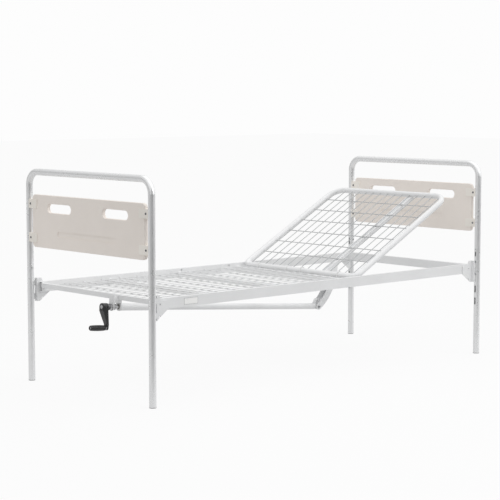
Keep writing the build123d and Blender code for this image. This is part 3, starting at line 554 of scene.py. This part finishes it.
def make_label_border():
    """Fine grey frame round the blank label."""
    low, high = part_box("rail_label")
    front = low.y
    work = Builder()
    strips = (
        (low.x, high.x, high.z - LABEL_EDGE, high.z),
        (low.x, high.x, low.z, low.z + LABEL_EDGE),
        (low.x, low.x + LABEL_EDGE, low.z, high.z),
        (high.x - LABEL_EDGE, high.x, low.z, high.z),
    )
    for x0, x1, z0, z1 in strips:
        work.ring_stack([[(x, y, z) for x, z in ((x0, z0), (x1, z0), (x1, z1), (x0, z1))]
                         for y in (front - LABEL_PROUD, front + LABEL_PROUD / 2)])
    piece = work.finish("label_border", "frame", "label_film", smooth=False)
    piece.data.materials[0] = LABEL_GREY


def make_lever_bolt():
    """Button-head bolt with a hexagon nut through the lever's cheeks."""
    low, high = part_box("lever_pin")
    centre = middle((low, high))
    work = Builder()
    work.bolt((centre.x, low.y + PIN_HEAD, centre.z), (centre.x, high.y - PIN_HEAD, centre.z), PIN_RADIUS,
              (high.z - low.z) / 2, PIN_HEAD)
    piece = work.finish("lever_bolt", "backrest", "spindle_steel")
    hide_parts("lever_pin")


# ---- studio -----------------------------------------------------------------------------------
def bed_middle_x():
    """Middle of the bed over its two bows."""
    return (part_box("bow_foot")[0].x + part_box("bow_head")[1].x) / 2


def make_camera():
    """Camera at the photograph's viewing angle."""
    data = bpy.data.cameras.new("camera")
    data.lens = CAMERA_LENS
    data.clip_end = 100.0
    camera = bpy.data.objects.new("camera", data)
    level = cos(CAMERA_TILT)
    forward = Vector((sin(CAMERA_TURN) * level, cos(CAMERA_TURN) * level, -sin(CAMERA_TILT)))
    camera.location = (CAMERA_FROM_BED[0] + bed_middle_x(), CAMERA_FROM_BED[1], CAMERA_HEIGHT)
    camera.rotation_mode = "QUATERNION"
    camera.rotation_quaternion = forward.to_track_quat("-Z", "Y")
    bpy.context.scene.collection.objects.link(camera)
    bpy.context.scene.camera = camera


def along(tree, source, direction):
    """How far a vector points along a direction."""
    node = tree.nodes.new("ShaderNodeVectorMath")
    node.operation = "DOT_PRODUCT"
    node.inputs[1].default_value = Vector(direction).normalized()
    tree.links.new(source, node.inputs[0])
    return node.outputs["Value"]


def make_sky():
    """White studio: plain behind the bed, and brighter on one side for what the bed sees."""
    world = bpy.data.worlds.new("studio")
    world.use_nodes = True
    tree = world.node_tree
    sky = tree.nodes["Background"]
    sky.inputs["Color"].default_value = rgba((1.0, 1.0, 1.0))
    plain = tree.nodes.new("ShaderNodeBackground")
    plain.inputs["Color"].default_value = rgba((BACKGROUND,) * 3)
    ray = tree.nodes.new("ShaderNodeTexCoord").outputs["Generated"]
    spread = tree.nodes.new("ShaderNodeMapRange")
    spread.inputs["From Min"].default_value = -1.0
    spread.inputs["To Min"].default_value = SKY_LOW
    spread.inputs["To Max"].default_value = SKY_HIGH
    dim = tree.nodes.new("ShaderNodeMapRange")
    dim.interpolation_type = "SMOOTHSTEP"
    dim.inputs["From Min"].default_value = DARK_START
    dim.inputs["To Min"].default_value = 1.0
    dim.inputs["To Max"].default_value = 1.0 - DARK_DEPTH
    times = tree.nodes.new("ShaderNodeMath")
    times.operation = "MULTIPLY"
    tree.links.new(along(tree, ray, DARK_SIDE), dim.inputs["Value"])
    tree.links.new(spread.outputs["Result"], times.inputs[0])
    tree.links.new(dim.outputs["Result"], times.inputs[1])
    path = tree.nodes.new("ShaderNodeLightPath")
    mix = tree.nodes.new("ShaderNodeMixShader")
    tree.links.new(along(tree, ray, SKY_SIDE), spread.inputs["Value"])
    tree.links.new(times.outputs["Value"], sky.inputs["Strength"])
    tree.links.new(path.outputs["Is Camera Ray"], mix.inputs["Fac"])
    tree.links.new(sky.outputs["Background"], mix.inputs[1])
    tree.links.new(plain.outputs["Background"], mix.inputs[2])
    tree.links.new(mix.outputs["Shader"], tree.nodes["World Output"].inputs["Surface"])
    bpy.context.scene.world = world


def make_floor():
    """Plain pale floor that the camera sees evenly lit, and the bed sees dark on one side."""
    finish = Finish("floor", specular=0.0)
    finish.colours(finish.noise(0.8, 2.0), FLOOR, tuple(0.99 * c for c in FLOOR))
    finish.shader.inputs["Roughness"].default_value = 0.9
    finish.shader.inputs["Emission Color"].default_value = rgba((1.0, 1.0, 1.0))
    bounce = finish.tree.nodes.new("ShaderNodeMapRange")
    bounce.inputs["From Min"].default_value = FLOOR_DARK_START
    bounce.inputs["From Max"].default_value = FLOOR_DARK_END
    bounce.inputs["To Min"].default_value = FLOOR_BOUNCE
    bounce.inputs["To Max"].default_value = 0.0
    finish.tree.links.new(along(finish.tree, finish.place, DARK_SIDE), bounce.inputs["Value"])
    path = finish.tree.nodes.new("ShaderNodeLightPath")
    glow = finish.tree.nodes.new("ShaderNodeMapRange")
    finish.tree.links.new(bounce.outputs["Result"], glow.inputs["To Min"])
    glow.inputs["To Max"].default_value = FLOOR_GLOW
    finish.tree.links.new(path.outputs["Is Camera Ray"], glow.inputs["Value"])
    finish.tree.links.new(glow.outputs["Result"], finish.shader.inputs["Emission Strength"])
    mesh = bmesh.new()
    bmesh.ops.create_grid(mesh, x_segments=8, y_segments=8, size=30.0)
    data = bpy.data.meshes.new("floor")
    mesh.to_mesh(data)
    mesh.free()
    data.materials.append(finish.material)
    floor = bpy.data.objects.new("floor", data)
    bpy.context.scene.collection.objects.link(floor)


def make_lights():
    """Large soft lamps: one overhead and one from the bed's right side."""
    for name, spot, aim, size, power in (
        ("overhead", (0.0, 0.0, 3.6), (0.0, 0.0, 0.4), 3.0, 10.0),
        ("side", (0.6, -4.5, 2.6), (0.0, 0.0, 0.4), 2.5, 26.0),
    ):
        lamp = bpy.data.lights.new(name, "AREA")
        lamp.size = size
        lamp.energy = power
        light = bpy.data.objects.new(name, lamp)
        light.location = spot
        light.rotation_euler = (Vector(aim) - Vector(spot)).to_track_quat("-Z", "Y").to_euler()
        bpy.context.scene.collection.objects.link(light)


bpy.context.scene.view_settings.view_transform = "Standard"
make_camera()
make_sky()
make_floor()
make_lights()
dress_cad_nodes()
weld_frame()
weld_backrest()
weld_wires("flat_spot_welds", "frame", "flat_long_wires", "flat_cross_wires")
weld_wires("backrest_spot_welds", "backrest", "backrest_long_wires", "backrest_cross_wires")
weld_wire_ends()
make_screws()
make_lever_bolt()
make_grip()
make_label_border()
